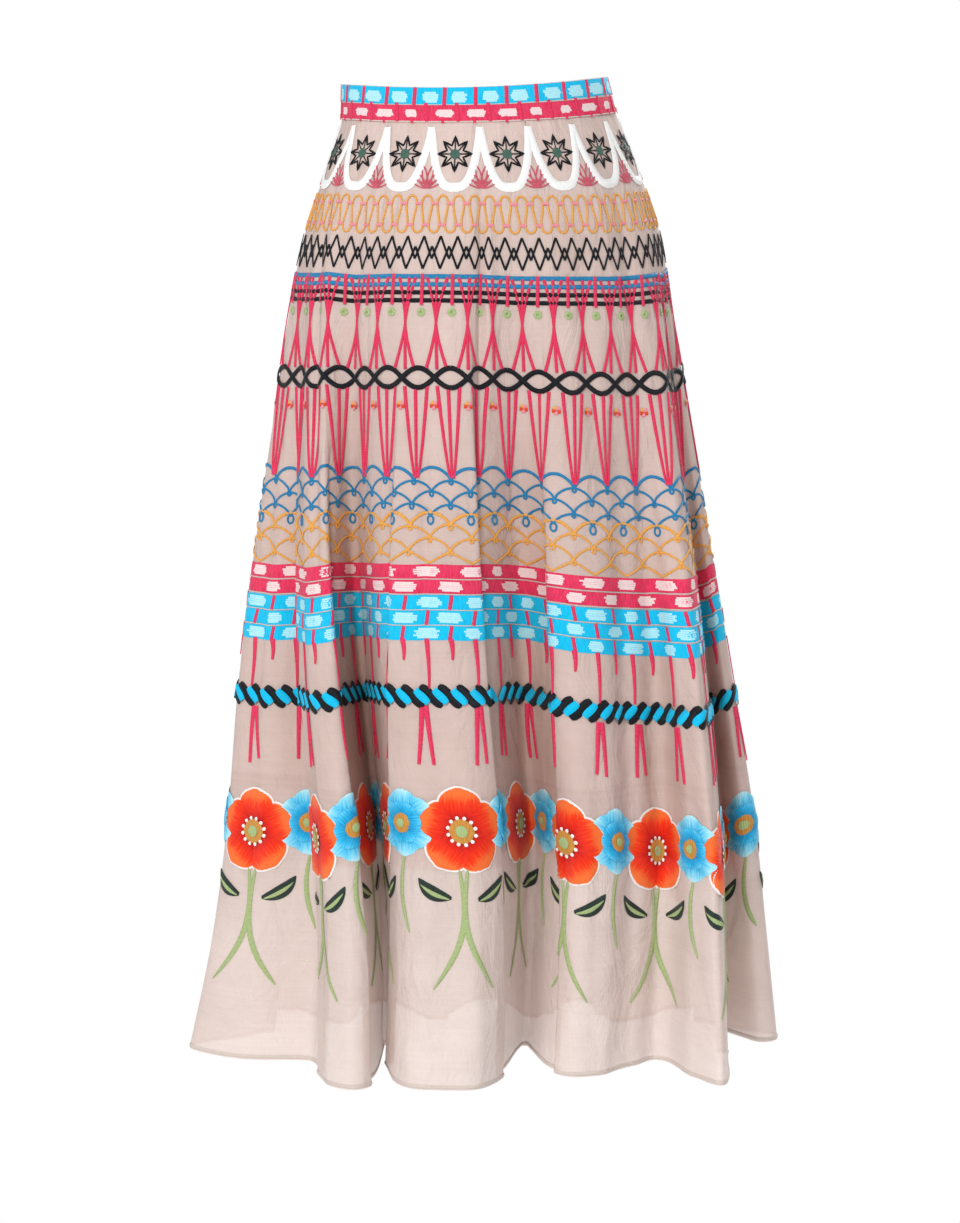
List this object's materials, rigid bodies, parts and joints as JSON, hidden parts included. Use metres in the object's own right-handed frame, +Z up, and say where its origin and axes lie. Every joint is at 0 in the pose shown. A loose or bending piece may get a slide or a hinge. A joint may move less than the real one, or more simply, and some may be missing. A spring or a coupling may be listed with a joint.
{
  "type": "skirt",
  "caption": "Long flared skirt of sheer organza with embroidered bands, a firm waistband, a shorter lining and a zip at the centre back, hollow as if worn.",
  "frame": {"origin": "centre of the waistband, halfway up it, where the wearer's waist holds the skirt", "axes": "+Z up through the waist, -Y the front of the skirt, +X the viewer's right when facing the front"},
  "size_m": [0.582, 0.3532, 0.9475],
  "materials": {
    "organza": "sheer silk organza, soft sheen",
    "band_cloth": "satin stitch over a firm band",
    "lining_cloth": "smooth lining cloth",
    "zip_tape": "closed zip chain on its tape",
    "zip_metal": "satin"
  },
  "bodies": {
    "root": {"waistband": "band_cloth", "front_panel": "organza", "back_panel_left": "organza", "back_panel_right": "organza", "lining": "lining_cloth", "zip_chain": "zip_tape", "zip_slider": "zip_metal"},
    "pull": {"zip_pull": "zip_metal"}
  },
  "joints": [
    {"name": "pull_swing", "type": "hinge", "parent": "root", "child": "pull", "pos_m": [0.00082, 0.09712, 0.00407], "axis": [1, 0, 0], "range_deg": [0, 120]}
  ]
}
